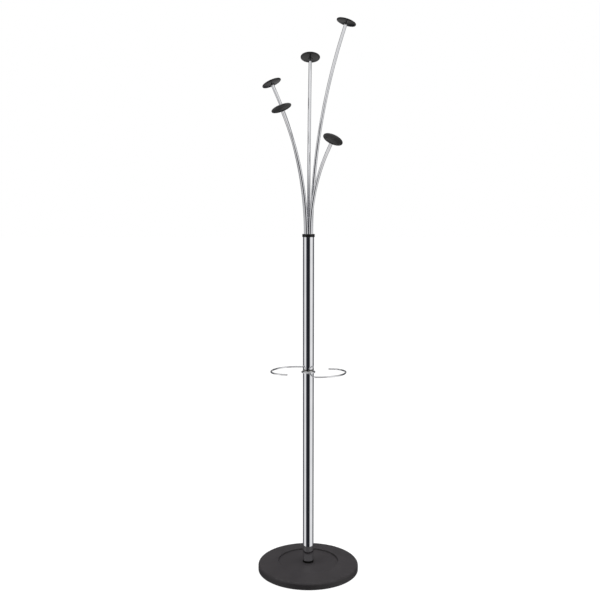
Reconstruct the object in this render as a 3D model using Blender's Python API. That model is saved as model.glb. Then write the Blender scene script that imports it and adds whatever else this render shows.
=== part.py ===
"""Standing coat rack: weighted round base, two-piece chromed pole, swivelling wire umbrella holder and a
crown of five curved arms with mushroom knobs.

Frame: metres, +Z up, origin on the floor at the pole's axis. The front of the stand faces -Y.
Azimuths are measured from +Y towards +X.
"""
import bpy
import bmesh
from math import atan, cos, pi, radians, sin, sqrt, tan
from mathutils import Matrix, Vector

# ---------------------------------------------------------------- driving dimensions
GAP = 0.0003                 # clearance between pieces that touch
RUNNING_GAP = 0.00035        # clearance round the swivelling umbrella holder
SCREW_CLEARANCE = 0.0006     # room round a screw, bolt or stud that passes through
CUT_OVERRUN = 0.0006         # how far a cutter reaches past the face it opens

BASE_RADIUS = 0.175
BASE_EDGE_RADIUS = 0.008     # rounded shoulder between the side and the top
BASE_LIP_HEIGHT = 0.031      # the cover's highest point, at the rim of the recess
BASE_SHOULDER_DROP = 0.007   # the top falls by this much from the lip to the shoulder
BASE_WALL = 0.002
BASE_RIM_CLEARANCE = 0.001   # the cover's lower edge above the floor
RECESS_SHARE = 0.6           # the recess's radius as a share of the base's
RECESS_DEPTH = 0.0055
RECESS_DRAFT = 0.0012        # how far the recess wall leans in
LIP_RADIUS = 0.0012
SEAT_MARGIN = 0.003          # the ferrule's raised seat reaches this far round it
SEAT_RISE = 0.0008           # the seat above the recess floor, so that drips stay off the ferrule

FOOT_RING_INSET = 0.009      # the ring's outer edge from the base's side
FOOT_RING_WIDTH = 0.018
FOOT_RING_HEIGHT = 0.0027
PLATE_THICKNESS = 0.0015
PLATE_CLEARANCE = 0.0006     # between the plate's edge and the cover
PLATE_BOLT_HOLE_RADIUS = 0.0135
BALLAST_INSET = 0.035        # the weight's side from the base's side
BALLAST_TOP_INSET = 0.010    # the weight's flat top from the recess's wall
BALLAST_EDGE_DROP = 0.0102   # the weight slopes down by this much towards its side

SCREW_COUNT = 3
SCREW_INSET = 0.030          # screws from the weight's side
SCREW_RADIUS = 0.002
SCREW_HEAD_RADIUS = 0.004
SCREW_HEAD_HEIGHT = 0.0016
SCREW_LENGTH = 0.010

BOLT_RADIUS = 0.006
BOLT_HEAD_ACROSS_FLATS = 0.019
BOLT_HEAD_HEIGHT = 0.007
BOLT_ENGAGEMENT = 0.022      # bolt length inside the pole's foot plug
WASHER_RADIUS = 0.0155
WASHER_THICKNESS = 0.0015
COUNTERBORE_CLEARANCE = 0.0015

TUBE_RADIUS = 0.019
TUBE_WALL = 0.0015
FERRULE_HEIGHT = 0.0067
FERRULE_CHAMFER = 0.0008
FOOT_PLUG_LENGTH = 0.030

JOINT_HEIGHT = 0.7036        # middle of the umbrella holder's ring
HOLDER_WIRE_RADIUS = 0.003
HOLDER_RING_STANDOFF = 0.0023    # the ring's centre line outside the tube's surface
JOINT_PLUG_LENGTH = 0.028
NECK_SPARE = 0.0045          # bare neck above the ring, which lets it drop into place
JOINT_WASHER_THICKNESS = 0.0034
STUD_RADIUS = 0.005
STUD_ENGAGEMENT = 0.022
STUD_BORE_SPARE = 0.002      # bore left past each end of the stud

LOOP_REACH = 0.122           # pole axis to the loop's outermost point
LOOP_FRONT_RADIUS = 0.092    # the wide bend at the loop's open front
LOOP_BACK_RADIUS = 0.055     # the tighter bend that closes towards the free end
LOOP_START_ANGLE = radians(-98)
LOOP_END_ANGLE = radians(95)
LOOP_ROOT_X = 0.003          # where the loop's straight root meets the ring
LOOP_CORNER_RADIUS = 0.009

COLLAR_HEIGHT = 1.166        # underside of the collar's flange
COLLAR_OVERHANG = 0.0022     # the collar's side outside the tube's
COLLAR_THICKNESS = 0.0096
COLLAR_CHAMFER = 0.0012
COLLAR_SPIGOT = 0.008

HUB_LENGTH = 0.048
HUB_FLOOR = 0.006
ARM_SHARE = 0.3143           # an arm's radius as a share of the tube's bore
ARM_CIRCLE_SHARE = 0.6       # the circle on which the arms stand, as a share of the bore
ARM_TAIL = 0.043             # straight end of each arm, behind its knob

KNOB_RADIUS = 0.0338
KNOB_EDGE_RADIUS = 0.0026
KNOB_CROWN = 0.0072          # rise of the domed top above the edge
KNOB_UNDERSIDE = 0.0058      # drop of the domed underside below the edge
KNOB_SOCKET_WALL = 0.0021
KNOB_NECK_LENGTH = 0.0015
KNOB_SOCKET_DEPTH = 0.0105
KNOB_EDGE_ANGLE = pi / 3     # where the rounded edge meets the domes

CROWN_RISE = 0.712           # the top knob above the collar's underside
KNOB_STEP_SHARE = 0.139      # each arm of the spiral ends lower than the one before by this share of the rise
ARM_NAMES = ("top", "second", "third", "fourth", "lowest")
ARM_AZIMUTHS = (72.0, 3.0, 290.0, 220.5, 144.0)
ARM_REACHES = (0.132, 0.131, 0.132, 0.136, 0.131)

# ---------------------------------------------------------------- fineness of round surfaces
ROUND_SIDES = 36             # sides of a turned piece
WIDE_SIDES = 56              # sides of the base's wide rings
SMALL_SIDES = 20             # sides of bolts, plugs and knobs
HOLE_SIDES = 12
HEX_SIDES = 6
WIRE_SIDES = 10              # sides of the holder ring's section
WIRE_RESOLUTION = 2          # 8 sides on the loops' wire
ARM_RESOLUTION = 3           # 10 sides on an arm
ARM_BEND_STEPS = 14
FRONT_BEND_STEPS = 14
BACK_BEND_STEPS = 10
CORNER_STEPS = 5
SHOULDER_STEPS = 4
LIP_STEPS = 2
CROWN_STEPS = 4
EDGE_STEPS = 2
UNDERSIDE_STEPS = 3
SHARP_ANGLE = radians(35)
MERGE_DISTANCE = 0.00002
CORNER_KEEP_OUT = 1.2        # front bend points nearer the corner than this many setbacks are left out

# ---------------------------------------------------------------- derived sizes
BASE_SHOULDER_HEIGHT = BASE_LIP_HEIGHT - BASE_SHOULDER_DROP
RECESS_RADIUS = BASE_RADIUS * RECESS_SHARE
RECESS_FLOOR = BASE_LIP_HEIGHT - RECESS_DEPTH
FOOT_RING_OUTER = BASE_RADIUS - FOOT_RING_INSET
PLATE_BOTTOM = FOOT_RING_HEIGHT + GAP
PLATE_TOP = PLATE_BOTTOM + PLATE_THICKNESS
BALLAST_BOTTOM = PLATE_TOP + GAP
BALLAST_TOP = RECESS_FLOOR - BASE_WALL - GAP
BALLAST_EDGE_HEIGHT = BALLAST_TOP - BALLAST_EDGE_DROP
BALLAST_RADIUS = BASE_RADIUS - BALLAST_INSET
BALLAST_TOP_RADIUS = RECESS_RADIUS - BALLAST_TOP_INSET
SCREW_CIRCLE_RADIUS = BALLAST_RADIUS - SCREW_INSET
BOLT_HEAD_BOTTOM = PLATE_BOTTOM + GAP
BOLT_HEAD_TOP = BOLT_HEAD_BOTTOM + BOLT_HEAD_HEIGHT
WASHER_BOTTOM = BOLT_HEAD_TOP + GAP
COUNTERBORE_TOP = WASHER_BOTTOM + WASHER_THICKNESS + GAP
COUNTERBORE_RADIUS = WASHER_RADIUS + COUNTERBORE_CLEARANCE
BOLT_BORE_RADIUS = BOLT_RADIUS + SCREW_CLEARANCE

SEAT_TOP = RECESS_FLOOR + SEAT_RISE
FERRULE_BOTTOM = SEAT_TOP + GAP
LOWER_TUBE_BOTTOM = FERRULE_BOTTOM + FERRULE_HEIGHT + GAP
TUBE_BORE_RADIUS = TUBE_RADIUS - TUBE_WALL
PLUG_RADIUS = TUBE_BORE_RADIUS - GAP
SEAT_RADIUS = TUBE_RADIUS + SEAT_MARGIN

HOLDER_RING_RADIUS = TUBE_RADIUS + HOLDER_RING_STANDOFF
NECK_RADIUS = HOLDER_RING_RADIUS - HOLDER_WIRE_RADIUS - RUNNING_GAP
NECK_HALF_HEIGHT = sqrt((HOLDER_WIRE_RADIUS + RUNNING_GAP) ** 2 - HOLDER_RING_STANDOFF ** 2)
LOWER_TUBE_TOP = JOINT_HEIGHT - NECK_HALF_HEIGHT
JOINT_WASHER_BOTTOM = JOINT_HEIGHT + NECK_HALF_HEIGHT + NECK_SPARE
UPPER_TUBE_BOTTOM = JOINT_WASHER_BOTTOM + JOINT_WASHER_THICKNESS + GAP
UPPER_TUBE_TOP = COLLAR_HEIGHT - GAP
STUD_BOTTOM = JOINT_WASHER_BOTTOM - STUD_ENGAGEMENT
STUD_TOP = UPPER_TUBE_BOTTOM + STUD_ENGAGEMENT

COLLAR_RADIUS = TUBE_RADIUS + COLLAR_OVERHANG
HUB_TOP = COLLAR_HEIGHT - COLLAR_SPIGOT - GAP
HUB_BOTTOM = HUB_TOP - HUB_LENGTH
ARM_RADIUS = TUBE_BORE_RADIUS * ARM_SHARE
ARM_CIRCLE_RADIUS = TUBE_BORE_RADIUS * ARM_CIRCLE_SHARE
ARM_FOOT = HUB_BOTTOM + HUB_FLOOR + GAP
ARM_BEND_START = COLLAR_HEIGHT + COLLAR_THICKNESS / 2
KNOB_NECK_RADIUS = ARM_RADIUS + KNOB_SOCKET_WALL
TOP_KNOB_HEIGHT = COLLAR_HEIGHT + CROWN_RISE
KNOB_STEP = CROWN_RISE * KNOB_STEP_SHARE


# ---------------------------------------------------------------- materials
def make_material(name, color, roughness, metallic):
    """Principled material with one colour, roughness and metallic value."""
    material = bpy.data.materials.new(name)
    material.use_nodes = True
    shader = material.node_tree.nodes["Principled BSDF"]
    shader.inputs["Base Color"].default_value = (*color, 1.0)
    shader.inputs["Roughness"].default_value = roughness
    shader.inputs["Metallic"].default_value = metallic
    return material


FINISHES = {
    "chrome": ((0.80, 0.80, 0.82), 0.06, 1.0),
    "grey_paint": ((0.055, 0.054, 0.056), 0.55, 0.0),
    "cast_iron": ((0.10, 0.095, 0.09), 0.75, 0.6),
    "zinc_steel": ((0.55, 0.56, 0.57), 0.35, 1.0),
    "black_plastic": ((0.02, 0.02, 0.021), 0.38, 0.0),
    "black_rubber": ((0.025, 0.025, 0.025), 0.8, 0.0),
}


def dress(obj, finish):
    """Give an object its own material in a named finish."""
    color, roughness, metallic = FINISHES[finish]
    obj.data.materials.clear()
    obj.data.materials.append(make_material(obj.name + "_finish", color, roughness, metallic))


# ---------------------------------------------------------------- modelling helpers
def clear_scene():
    """Remove whatever objects the file holds."""
    for obj in list(bpy.data.objects):
        bpy.data.objects.remove(obj, do_unlink=True)


def make_empty(name, location, parent=None):
    """Empty that carries pieces; location is in world metres."""
    empty = bpy.data.objects.new(name, None)
    bpy.context.collection.objects.link(empty)
    empty.location = location
    if parent:
        empty.parent = parent
        empty.location = Vector(location) - parent.location
    return empty


def add_object(name, data, parent, location=(0, 0, 0), rotation=None):
    """Link an object under an empty; location is measured from that empty."""
    obj = bpy.data.objects.new(name, data)
    bpy.context.collection.objects.link(obj)
    obj.parent = parent
    obj.location = location
    if rotation is not None:
        obj.rotation_euler = rotation.to_euler()
    return obj


def smooth_mesh(mesh):
    """Shade a mesh smooth with its hard edges kept."""
    mesh.shade_smooth()
    mesh.set_sharp_from_angle(angle=SHARP_ANGLE)


def arc(center, radius, start, end, steps):
    """Points of an arc in a plane, both ends included."""
    points = []
    for step in range(steps + 1):
        angle = start + (end - start) * step / steps
        points.append((center[0] + radius * cos(angle), center[1] + radius * sin(angle)))
    return points


def turned_mesh(name, outline, sides=ROUND_SIDES, closed=True):
    """Turn an (r, z) outline about Z. A closed outline gives a solid, an open one a sheet."""
    bm = bmesh.new()
    verts = [bm.verts.new((r, 0, z)) for r, z in outline]
    edges = [bm.edges.new(pair) for pair in zip(verts, verts[1:])]
    if closed and outline[0][0] > 0:
        edges.append(bm.edges.new((verts[-1], verts[0])))
    bmesh.ops.spin(bm, geom=verts + edges, cent=(0, 0, 0), axis=(0, 0, 1), angle=2 * pi,
                   steps=sides, use_merge=True)
    bmesh.ops.remove_doubles(bm, verts=bm.verts, dist=MERGE_DISTANCE)
    bmesh.ops.recalc_face_normals(bm, faces=bm.faces)
    mesh = bpy.data.meshes.new(name)
    bm.to_mesh(mesh)
    bm.free()
    smooth_mesh(mesh)
    return mesh


def turned(name, outline, finish, parent, location=(0, 0, 0), sides=ROUND_SIDES):
    """Turned solid as an object."""
    obj = add_object(name, turned_mesh(name, outline, sides), parent, location)
    dress(obj, finish)
    return obj


def tube_outline(inner, outer, bottom, top):
    """Outline of a plain ring or tube."""
    return [(outer, top), (outer, bottom), (inner, bottom), (inner, top)]


def rod_mesh(name, radius, bottom, top, sides, spots=((0, 0),)):
    """Upright cylinders at one or more (x, y) spots."""
    bm = bmesh.new()
    for x, y in spots:
        place = Matrix.Translation((x, y, (bottom + top) / 2))
        bmesh.ops.create_cone(bm, cap_ends=True, segments=sides, radius1=radius, radius2=radius,
                              depth=top - bottom, matrix=place)
    mesh = bpy.data.meshes.new(name)
    bm.to_mesh(mesh)
    bm.free()
    smooth_mesh(mesh)
    return mesh


def combine(target, mesh, operation):
    """Cut a mesh out of an object, or join it on, with a Boolean modifier."""
    tool = add_object(target.name + "_" + operation.lower() + str(len(target.modifiers)), mesh, target.parent,
                      target.location)
    tool.hide_render = True
    tool.display_type = 'WIRE'
    modifier = target.modifiers.new(operation.title(), 'BOOLEAN')
    modifier.operation = operation
    modifier.solver = 'EXACT'
    modifier.object = tool


def bent_wire(name, points, radius, resolution, finish, parent, location=(0, 0, 0)):
    """Round wire or rod along a list of points, with filled ends."""
    curve = bpy.data.curves.new(name, 'CURVE')
    curve.dimensions = '3D'
    curve.bevel_depth = radius
    curve.bevel_resolution = resolution
    curve.use_fill_caps = True
    spline = curve.splines.new('POLY')
    spline.points.add(len(points) - 1)
    for spot, point in zip(spline.points, points):
        spot.co = (*point, 1.0)
    spline.use_smooth = True
    obj = add_object(name, curve, parent, location)
    dress(obj, finish)
    return obj


# ---------------------------------------------------------------- base
def cover_outline():
    """Outer skin of the base cover: lower edge, shoulder, recess lip and floor, and the ferrule's seat."""
    shoulder_center = (BASE_RADIUS - BASE_EDGE_RADIUS, BASE_SHOULDER_HEIGHT - BASE_EDGE_RADIUS)
    slope = atan((BASE_LIP_HEIGHT - BASE_SHOULDER_HEIGHT) / (shoulder_center[0] - RECESS_RADIUS))
    lip_center = (RECESS_RADIUS + LIP_RADIUS, BASE_LIP_HEIGHT - LIP_RADIUS)
    outline = [(BASE_RADIUS, BASE_RIM_CLEARANCE)]
    outline += arc(shoulder_center, BASE_EDGE_RADIUS, 0, pi / 2 - slope, SHOULDER_STEPS)
    outline += arc(lip_center, LIP_RADIUS, pi / 2 - slope, pi, LIP_STEPS)
    outline.append((RECESS_RADIUS - RECESS_DRAFT, RECESS_FLOOR))
    outline.append((SEAT_RADIUS + SEAT_RISE, RECESS_FLOOR))
    outline.append((SEAT_RADIUS, SEAT_TOP))
    outline.append((BOLT_BORE_RADIUS, SEAT_TOP))
    return outline


def build_base_cover(parent):
    """Pressed cover: a turned sheet thickened inwards."""
    mesh = turned_mesh("base_cover", cover_outline(), sides=WIDE_SIDES, closed=False)
    top_face = max(mesh.polygons, key=lambda face: face.center.z)
    if top_face.normal.z < 0:
        mesh.flip_normals()
    cover = add_object("base_cover", mesh, parent)
    dress(cover, "grey_paint")
    wall = cover.modifiers.new("Wall", 'SOLIDIFY')
    wall.thickness = BASE_WALL
    wall.offset = -1
    wall.use_even_offset = True


def screw_spots():
    """Places of the base plate screws."""
    turns = [2 * pi * index / SCREW_COUNT + pi / 2 for index in range(SCREW_COUNT)]
    return [(SCREW_CIRCLE_RADIUS * cos(turn), SCREW_CIRCLE_RADIUS * sin(turn)) for turn in turns]


def build_ballast(parent):
    """Cast weight under the cover, counterbored for the pole's bolt and tapped for the plate screws."""
    outline = [(BOLT_BORE_RADIUS, BALLAST_TOP), (BALLAST_TOP_RADIUS, BALLAST_TOP),
               (BALLAST_RADIUS, BALLAST_EDGE_HEIGHT), (BALLAST_RADIUS, BALLAST_BOTTOM),
               (COUNTERBORE_RADIUS, BALLAST_BOTTOM), (COUNTERBORE_RADIUS, COUNTERBORE_TOP),
               (BOLT_BORE_RADIUS, COUNTERBORE_TOP)]
    ballast = turned("ballast_weight", outline, "cast_iron", parent)
    hole_top = PLATE_BOTTOM + SCREW_LENGTH + GAP
    holes = rod_mesh("ballast_holes", SCREW_RADIUS + GAP, BALLAST_BOTTOM - CUT_OVERRUN, hole_top, HOLE_SIDES,
                     screw_spots())
    combine(ballast, holes, 'DIFFERENCE')


def build_base_plate(parent):
    """Thin steel plate that closes the base, with its screws and the rubber ring it stands on."""
    plate_radius = BASE_RADIUS - BASE_WALL - PLATE_CLEARANCE
    plate = turned("base_plate", tube_outline(PLATE_BOLT_HOLE_RADIUS, plate_radius, PLATE_BOTTOM, PLATE_TOP),
                   "zinc_steel", parent, sides=WIDE_SIDES)
    holes = rod_mesh("plate_holes", SCREW_RADIUS + SCREW_CLEARANCE, PLATE_BOTTOM - CUT_OVERRUN,
                     PLATE_TOP + CUT_OVERRUN, HOLE_SIDES, screw_spots())
    combine(plate, holes, 'DIFFERENCE')
    turned("foot_ring", tube_outline(FOOT_RING_OUTER - FOOT_RING_WIDTH, FOOT_RING_OUTER, 0, FOOT_RING_HEIGHT),
           "black_rubber", parent, sides=WIDE_SIDES)

    head_top = PLATE_BOTTOM - GAP
    outline = [(0, head_top - SCREW_HEAD_HEIGHT), (SCREW_HEAD_RADIUS, head_top - SCREW_HEAD_HEIGHT),
               (SCREW_HEAD_RADIUS, head_top), (SCREW_RADIUS, head_top),
               (SCREW_RADIUS, PLATE_BOTTOM + SCREW_LENGTH), (0, PLATE_BOTTOM + SCREW_LENGTH)]
    for index, (x, y) in enumerate(screw_spots()):
        turned(f"base_plate_screw_{index + 1}", outline, "zinc_steel", parent, (x, y, 0), sides=HOLE_SIDES)


def build_base_bolt(parent):
    """Hexagon bolt and washer that pull the pole down onto the base."""
    bolt_top = LOWER_TUBE_BOTTOM + BOLT_ENGAGEMENT
    corner_radius = BOLT_HEAD_ACROSS_FLATS / 2 / cos(pi / 6)
    head = rod_mesh("base_bolt", corner_radius, BOLT_HEAD_BOTTOM, BOLT_HEAD_TOP, HEX_SIDES)
    bolt = add_object("base_bolt", head, parent)
    dress(bolt, "zinc_steel")
    shank = rod_mesh("bolt_shank", BOLT_RADIUS, BOLT_HEAD_TOP - BOLT_HEAD_HEIGHT / 2, bolt_top, SMALL_SIDES)
    combine(bolt, shank, 'UNION')
    washer = tube_outline(BOLT_BORE_RADIUS, WASHER_RADIUS, WASHER_BOTTOM, WASHER_BOTTOM + WASHER_THICKNESS)
    turned("base_washer", washer, "zinc_steel", parent, sides=SMALL_SIDES)


# ---------------------------------------------------------------- pole
def build_lower_pole(parent):
    """Foot ferrule, lower tube and the plugs in its two ends."""
    ferrule_top = FERRULE_BOTTOM + FERRULE_HEIGHT
    outline = [(TUBE_RADIUS, ferrule_top), (TUBE_RADIUS, FERRULE_BOTTOM + FERRULE_CHAMFER),
               (TUBE_RADIUS - FERRULE_CHAMFER, FERRULE_BOTTOM), (BOLT_BORE_RADIUS, FERRULE_BOTTOM),
               (BOLT_BORE_RADIUS, ferrule_top)]
    turned("foot_ferrule", outline, "black_plastic", parent)
    turned("lower_tube", tube_outline(TUBE_BORE_RADIUS, TUBE_RADIUS, LOWER_TUBE_BOTTOM, LOWER_TUBE_TOP),
           "chrome", parent)
    plug_top = LOWER_TUBE_BOTTOM + FOOT_PLUG_LENGTH
    plug = tube_outline(BOLT_RADIUS + GAP, PLUG_RADIUS, LOWER_TUBE_BOTTOM, plug_top)
    turned("foot_plug", plug, "zinc_steel", parent, sides=SMALL_SIDES)

    bore_radius = STUD_RADIUS + GAP
    bore_bottom = STUD_BOTTOM - STUD_BORE_SPARE
    plug_bottom = LOWER_TUBE_TOP - JOINT_PLUG_LENGTH
    shoulder = LOWER_TUBE_TOP + GAP
    neck_top = JOINT_WASHER_BOTTOM - GAP
    outline = [(0, bore_bottom), (bore_radius, bore_bottom), (bore_radius, neck_top), (NECK_RADIUS, neck_top),
               (NECK_RADIUS, shoulder), (PLUG_RADIUS, shoulder), (PLUG_RADIUS, plug_bottom), (0, plug_bottom)]
    turned("joint_coupler", outline, "zinc_steel", parent)


def build_upper_pole(parent):
    """Joint stud and washer, upper tube and the plug in its lower end."""
    rod = rod_mesh("joint_stud", STUD_RADIUS, STUD_BOTTOM, STUD_TOP, SMALL_SIDES)
    dress(add_object("joint_stud", rod, parent), "zinc_steel")
    washer_top = JOINT_WASHER_BOTTOM + JOINT_WASHER_THICKNESS
    washer = tube_outline(STUD_RADIUS + SCREW_CLEARANCE, TUBE_RADIUS, JOINT_WASHER_BOTTOM, washer_top)
    turned("joint_washer", washer, "black_plastic", parent)
    plug_top = UPPER_TUBE_BOTTOM + JOINT_PLUG_LENGTH
    plug = tube_outline(STUD_RADIUS + GAP, PLUG_RADIUS, UPPER_TUBE_BOTTOM, plug_top)
    turned("upper_joint_plug", plug, "zinc_steel", parent, sides=SMALL_SIDES)
    turned("upper_tube", tube_outline(TUBE_BORE_RADIUS, TUBE_RADIUS, UPPER_TUBE_BOTTOM, UPPER_TUBE_TOP),
           "chrome", parent)


# ---------------------------------------------------------------- umbrella holder
def ring_outline():
    """Round section of the holder's ring."""
    last_angle = 2 * pi * (WIRE_SIDES - 1) / WIRE_SIDES
    return arc((HOLDER_RING_RADIUS, 0), HOLDER_WIRE_RADIUS, 0, last_angle, WIRE_SIDES - 1)


def loop_points():
    """Centre line of the right-hand loop in the holder's own plane, from the ring to the free end."""
    front_center = (LOOP_REACH - LOOP_FRONT_RADIUS, 0)
    back_center = (LOOP_REACH - LOOP_BACK_RADIUS, 0)
    front = arc(front_center, LOOP_FRONT_RADIUS, LOOP_START_ANGLE, 0, FRONT_BEND_STEPS)
    back = arc(back_center, LOOP_BACK_RADIUS, 0, LOOP_END_ANGLE, BACK_BEND_STEPS)

    clear = HOLDER_RING_RADIUS + HOLDER_WIRE_RADIUS + GAP
    root = Vector((LOOP_ROOT_X, -sqrt(clear ** 2 - LOOP_ROOT_X ** 2)))
    corner = Vector(front[0])
    inward = (root - corner).normalized()
    onward = (Vector(front[1]) - corner).normalized()
    half_angle = inward.angle(onward) / 2
    setback = LOOP_CORNER_RADIUS / tan(half_angle)
    bisector = (inward + onward).normalized()
    bend_center = corner + bisector * (LOOP_CORNER_RADIUS / sin(half_angle))
    first = corner + inward * setback - bend_center
    last = corner + onward * setback - bend_center
    turn = first.angle_signed(last)
    bend = []
    for step in range(CORNER_STEPS + 1):
        spot = first.copy()
        spot.rotate(Matrix.Rotation(-turn * step / CORNER_STEPS, 2))
        bend.append(tuple(bend_center + spot))
    kept_front = [point for point in front if (Vector(point) - corner).length > setback * CORNER_KEEP_OUT]
    return [tuple(root)] + bend + kept_front + back[1:]


def build_umbrella_holder(parent):
    """Wire ring on the pole's neck with two open loops, one turned half round from the other."""
    turned("holder_ring", ring_outline(), "chrome", parent)
    path = [(x, y, 0) for x, y in loop_points()]
    bent_wire("umbrella_loop_right", path, HOLDER_WIRE_RADIUS, WIRE_RESOLUTION, "chrome", parent)
    opposite = [(-x, -y, z) for x, y, z in path]
    bent_wire("umbrella_loop_left", opposite, HOLDER_WIRE_RADIUS, WIRE_RESOLUTION, "chrome", parent)


# ---------------------------------------------------------------- crown of arms
def arm_direction(azimuth_degrees):
    """Horizontal unit vector of an azimuth measured from +Y towards +X."""
    angle = radians(azimuth_degrees)
    return Vector((sin(angle), cos(angle), 0))


def socket_spots():
    """Places of the arms on the hub's circle."""
    return [(arm_direction(azimuth) * ARM_CIRCLE_RADIUS).to_2d() for azimuth in ARM_AZIMUTHS]


def build_collar_and_hub(parent):
    """Black collar that caps the pole, and the hub pressed into the tube that grips the arms."""
    top = COLLAR_HEIGHT + COLLAR_THICKNESS
    spigot_bottom = COLLAR_HEIGHT - COLLAR_SPIGOT
    outline = [(0, top), (COLLAR_RADIUS - COLLAR_CHAMFER, top), (COLLAR_RADIUS, top - COLLAR_CHAMFER),
               (COLLAR_RADIUS, COLLAR_HEIGHT), (PLUG_RADIUS, COLLAR_HEIGHT), (PLUG_RADIUS, spigot_bottom),
               (0, spigot_bottom)]
    collar = turned("top_collar", outline, "black_plastic", parent)
    hole_radius = ARM_RADIUS + GAP
    holes = rod_mesh("collar_holes", hole_radius, spigot_bottom - CUT_OVERRUN, top + CUT_OVERRUN, HOLE_SIDES,
                     socket_spots())
    combine(collar, holes, 'DIFFERENCE')

    outline = [(0, HUB_TOP), (PLUG_RADIUS, HUB_TOP), (PLUG_RADIUS, HUB_BOTTOM), (0, HUB_BOTTOM)]
    hub = turned("arm_hub", outline, "zinc_steel", parent)
    sockets = rod_mesh("hub_holes", hole_radius, HUB_BOTTOM + HUB_FLOOR, HUB_TOP + CUT_OVERRUN, HOLE_SIDES,
                       socket_spots())
    combine(hub, sockets, 'DIFFERENCE')


def arm_shape(azimuth, reach, knob_height):
    """Centre line of an arm, its knob's centre and the direction in which it ends.

    The arm stands upright in the hub, bends outwards on one arc and ends in a straight tail.
    """
    outward = arm_direction(azimuth)
    rise = knob_height - ARM_BEND_START
    lean = 2 * atan((reach - ARM_CIRCLE_RADIUS) / (rise + ARM_TAIL))
    bend_radius = (rise - ARM_TAIL * cos(lean)) / sin(lean)
    points = [outward * ARM_CIRCLE_RADIUS + Vector((0, 0, ARM_FOOT))]
    for step in range(ARM_BEND_STEPS + 1):
        angle = lean * step / ARM_BEND_STEPS
        radial = ARM_CIRCLE_RADIUS + bend_radius * (1 - cos(angle))
        points.append(outward * radial + Vector((0, 0, ARM_BEND_START + bend_radius * sin(angle))))
    direction = outward * sin(lean) + Vector((0, 0, cos(lean)))
    knob_center = outward * reach + Vector((0, 0, knob_height))
    socket_end = KNOB_SOCKET_DEPTH - KNOB_UNDERSIDE - KNOB_NECK_LENGTH
    points.append(knob_center + direction * (socket_end - GAP))
    return points, knob_center, direction


def cap_arc(edge_radius, edge_z, rise, inner_radius, steps):
    """Shallow dome from the axis side (inner_radius) out to the edge, as (r, z) points."""
    sphere = (edge_radius ** 2 + rise ** 2) / (2 * abs(rise))
    sign = 1 if rise > 0 else -1
    center_z = edge_z + rise - sign * sphere
    points = []
    for step in range(steps + 1):
        r = inner_radius + (edge_radius - inner_radius) * step / steps
        points.append((r, center_z + sign * sqrt(sphere ** 2 - r ** 2)))
    return points


def knob_outline():
    """Mushroom knob about +Z: domed top, thin rounded edge, domed underside, neck and blind socket."""
    rim = KNOB_RADIUS - KNOB_EDGE_RADIUS
    top = cap_arc(rim, KNOB_EDGE_RADIUS, KNOB_CROWN - KNOB_EDGE_RADIUS, 0, CROWN_STEPS)
    edge = arc((rim, 0), KNOB_EDGE_RADIUS, KNOB_EDGE_ANGLE, -KNOB_EDGE_ANGLE, EDGE_STEPS)
    drop = KNOB_UNDERSIDE - KNOB_EDGE_RADIUS
    under = cap_arc(rim, -KNOB_EDGE_RADIUS, -drop, KNOB_NECK_RADIUS, UNDERSIDE_STEPS)
    socket_radius = ARM_RADIUS + GAP
    neck_end = -KNOB_UNDERSIDE - KNOB_NECK_LENGTH
    socket_end = neck_end + KNOB_SOCKET_DEPTH
    neck = [(KNOB_NECK_RADIUS, neck_end), (socket_radius, neck_end), (socket_radius, socket_end),
            (0, socket_end)]
    return top + edge + under[::-1] + neck


def build_arms(parent):
    """Five arms in a descending spiral, each with its knob pressed on."""
    knob_mesh = turned_mesh("knob", knob_outline(), sides=SMALL_SIDES)
    for rank, name in enumerate(ARM_NAMES):
        knob_height = TOP_KNOB_HEIGHT - rank * KNOB_STEP
        points, knob_center, direction = arm_shape(ARM_AZIMUTHS[rank], ARM_REACHES[rank], knob_height)
        bent_wire("arm_" + name, points, ARM_RADIUS, ARM_RESOLUTION, "chrome", parent)
        mesh = knob_mesh.copy()
        tilt = Vector((0, 0, 1)).rotation_difference(direction)
        dress(add_object("knob_" + name, mesh, parent, knob_center, tilt), "black_plastic")
    bpy.data.meshes.remove(knob_mesh)


def main():
    """Build the whole stand."""
    clear_scene()
    stand = make_empty("stand", (0, 0, 0))
    build_base_cover(stand)
    build_ballast(stand)
    build_base_plate(stand)
    build_base_bolt(stand)
    build_lower_pole(stand)
    build_upper_pole(stand)
    build_collar_and_hub(stand)
    build_arms(stand)
    swivel = make_empty("holder_swivel", (0, 0, JOINT_HEIGHT), stand)
    build_umbrella_holder(swivel)


main()
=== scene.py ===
"""Finished look of the standing coat rack: grey weighted base, chromed pole, wire umbrella holder and a
crown of curved arms with black mushroom knobs.

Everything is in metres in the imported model's own frame: +Z up, origin on the floor at the pole's axis.
"""
import logging
from dataclasses import dataclass, field
from enum import Enum
from math import atan, atan2, cos, pi, radians, sin, sqrt, tan
from typing import Iterable, NamedTuple, Optional, Sequence

import bmesh
import bpy
from mathutils import Matrix, Vector


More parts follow.
